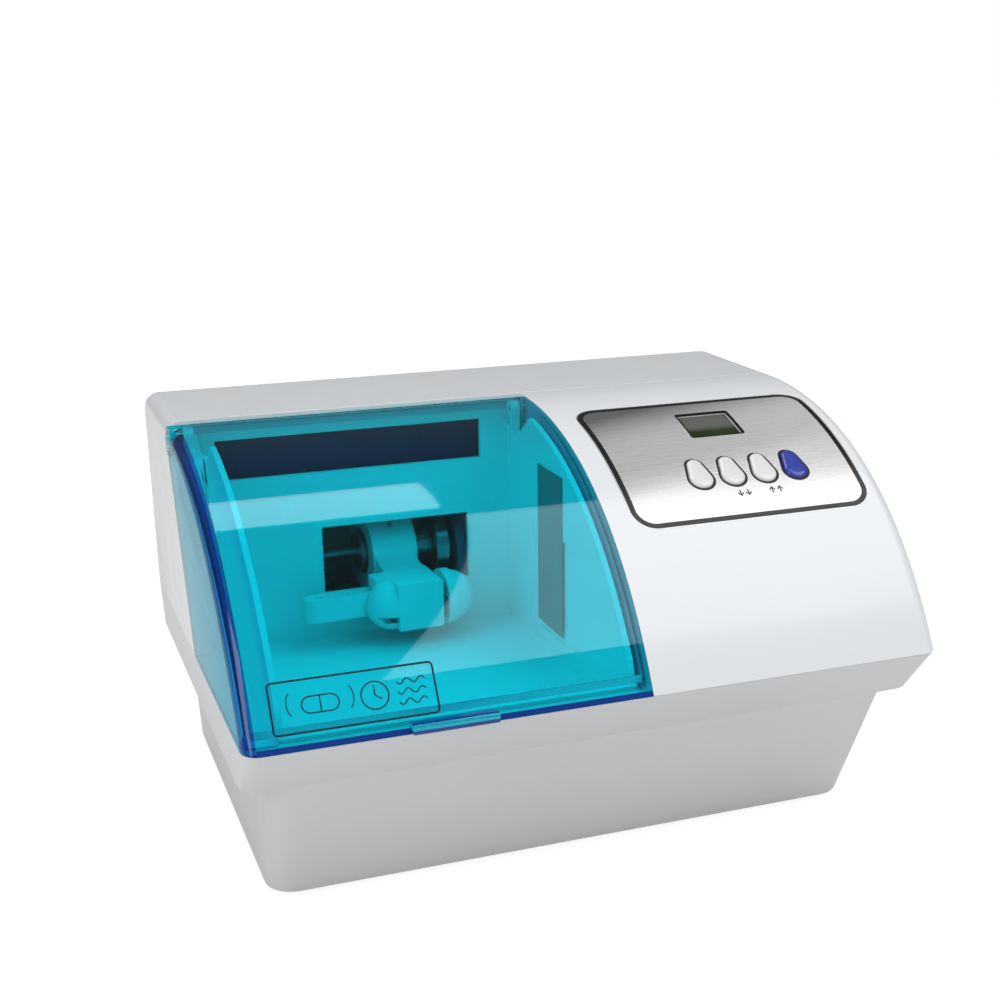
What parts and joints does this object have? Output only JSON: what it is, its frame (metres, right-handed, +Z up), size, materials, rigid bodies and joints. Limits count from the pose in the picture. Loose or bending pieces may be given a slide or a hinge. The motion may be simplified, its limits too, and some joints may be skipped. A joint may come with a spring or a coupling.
{
  "type": "dental amalgamator",
  "caption": "Bench-top dental amalgamator: curved white shell over a grey tub, tinted blue swing-up canopy, rocking capsule arm and a silver key panel.",
  "frame": {"origin": "centre of the bounding box in plan, at the underside of the rubber feet", "axes": "+Z up, front with the canopy and keys towards -Y, +X to the right seen from the front"},
  "size_m": [0.3, 0.238, 0.18],
  "materials": {
    "shell_white": "glossy moulded",
    "tub_grey": "satin moulded",
    "liner_white": "satin moulded",
    "canopy_blue": "clear tinted",
    "overlay_silver": "satin printed film",
    "lcd_green": "clear window",
    "key_white": "glossy",
    "key_blue": "glossy",
    "black_plastic": "satin",
    "rubber_black": "matt",
    "board_green": "solder resist",
    "steel": "ground",
    "zinc": "bright plated",
    "frame_paint": "powder coated",
    "motor_paint": "satin painted",
    "core_steel": "varnished laminations"
  },
  "bodies": {
    "housing": {"base_tub": "tub_grey", "top_shell": "shell_white", "chamber_liner": "liner_white", "rubber_feet": "rubber_black", "case_screws": "zinc", "control_overlay": "overlay_silver", "display_lens": "lcd_green", "display_module": "board_green", "control_board": "board_green", "tact_switches": "black_plastic", "board_screws": "zinc", "hinge_pins": "steel", "lid_switch": "black_plastic", "chassis_frame": "frame_paint", "isolator_bushes": "rubber_black", "chassis_screws": "zinc", "shaft_bearings": "steel", "motor_can": "motor_paint", "motor_screws": "zinc", "steady_spring": "steel", "transformer": "core_steel", "mains_inlet": "black_plastic", "inlet_screws": "zinc", "switch_frame": "black_plastic", "fuse_holder": "black_plastic"},
    "lid": {"lid_canopy": "canopy_blue"},
    "shaft": {"drive_shaft": "steel", "skew_journal": "steel", "journal_screw": "black_plastic", "flywheel": "steel"},
    "rocker": {"journal_bearings": "steel", "rocker_arm": "liner_white", "arm_cap": "liner_white", "cap_screws": "zinc"},
    "clip": {"clip_slider": "liner_white", "clip_spring": "steel"},
    "key_mode": {"button_mode": "key_white"},
    "key_down": {"button_down": "key_white"},
    "key_up": {"button_up": "key_white"},
    "key_start": {"button_start": "key_blue"},
    "power_rocker": {"switch_rocker": "black_plastic"},
    "fuse_plug": {"fuse_cap": "black_plastic"}
  },
  "joints": [
    {"name": "lid_hinge", "type": "hinge", "parent": "housing", "child": "lid", "pos_m": [0, 0.0309, 0.1735], "axis": [-1, 0, 0], "range_deg": [0, 85]},
    {"name": "shaft_spin", "type": "hinge", "parent": "housing", "child": "shaft", "pos_m": [-0.048, 0.064, 0.104], "axis": [1, 0, 0], "continuous": true},
    {"name": "arm_rock", "type": "hinge", "parent": "shaft", "child": "rocker", "pos_m": [-0.048, 0.064, 0.104], "axis": [0.9976, 0.0698, 0], "continuous": true},
    {"name": "clip_slide", "type": "slide", "parent": "rocker", "child": "clip", "axis": [0.9976, 0.0698, 0], "range_m": [0, 0.008], "stiffness_N_per_m": 400, "springref_m": -0.006, "deforming": ["clip_spring"]},
    {"name": "key_mode_press", "type": "slide", "parent": "housing", "child": "key_mode", "axis": [0, 0.5058, -0.8627], "range_m": [0, 0.0008], "stiffness_N_per_m": 150, "springref_m": -0.003},
    {"name": "key_down_press", "type": "slide", "parent": "housing", "child": "key_down", "axis": [0, 0.5058, -0.8627], "range_m": [0, 0.0008], "stiffness_N_per_m": 150, "springref_m": -0.003},
    {"name": "key_up_press", "type": "slide", "parent": "housing", "child": "key_up", "axis": [0, 0.5058, -0.8627], "range_m": [0, 0.0008], "stiffness_N_per_m": 150, "springref_m": -0.003},
    {"name": "key_start_press", "type": "slide", "parent": "housing", "child": "key_start", "axis": [0, 0.5058, -0.8627], "range_m": [0, 0.0008], "stiffness_N_per_m": 150, "springref_m": -0.003},
    {"name": "power_rock", "type": "hinge", "parent": "housing", "child": "power_rocker", "pos_m": [-0.036, 0.1106, 0.036], "axis": [0, 0, 1], "range_deg": [0, 18]},
    {"name": "fuse_turn", "type": "hinge", "parent": "housing", "child": "fuse_plug", "pos_m": [0.004, 0.116, 0.036], "axis": [0, 1, 0], "range_deg": [0, 90]}
  ],
  "couplings": [
    {"joint": "arm_rock", "follows": "shaft_spin", "ratio": -1}
  ]
}
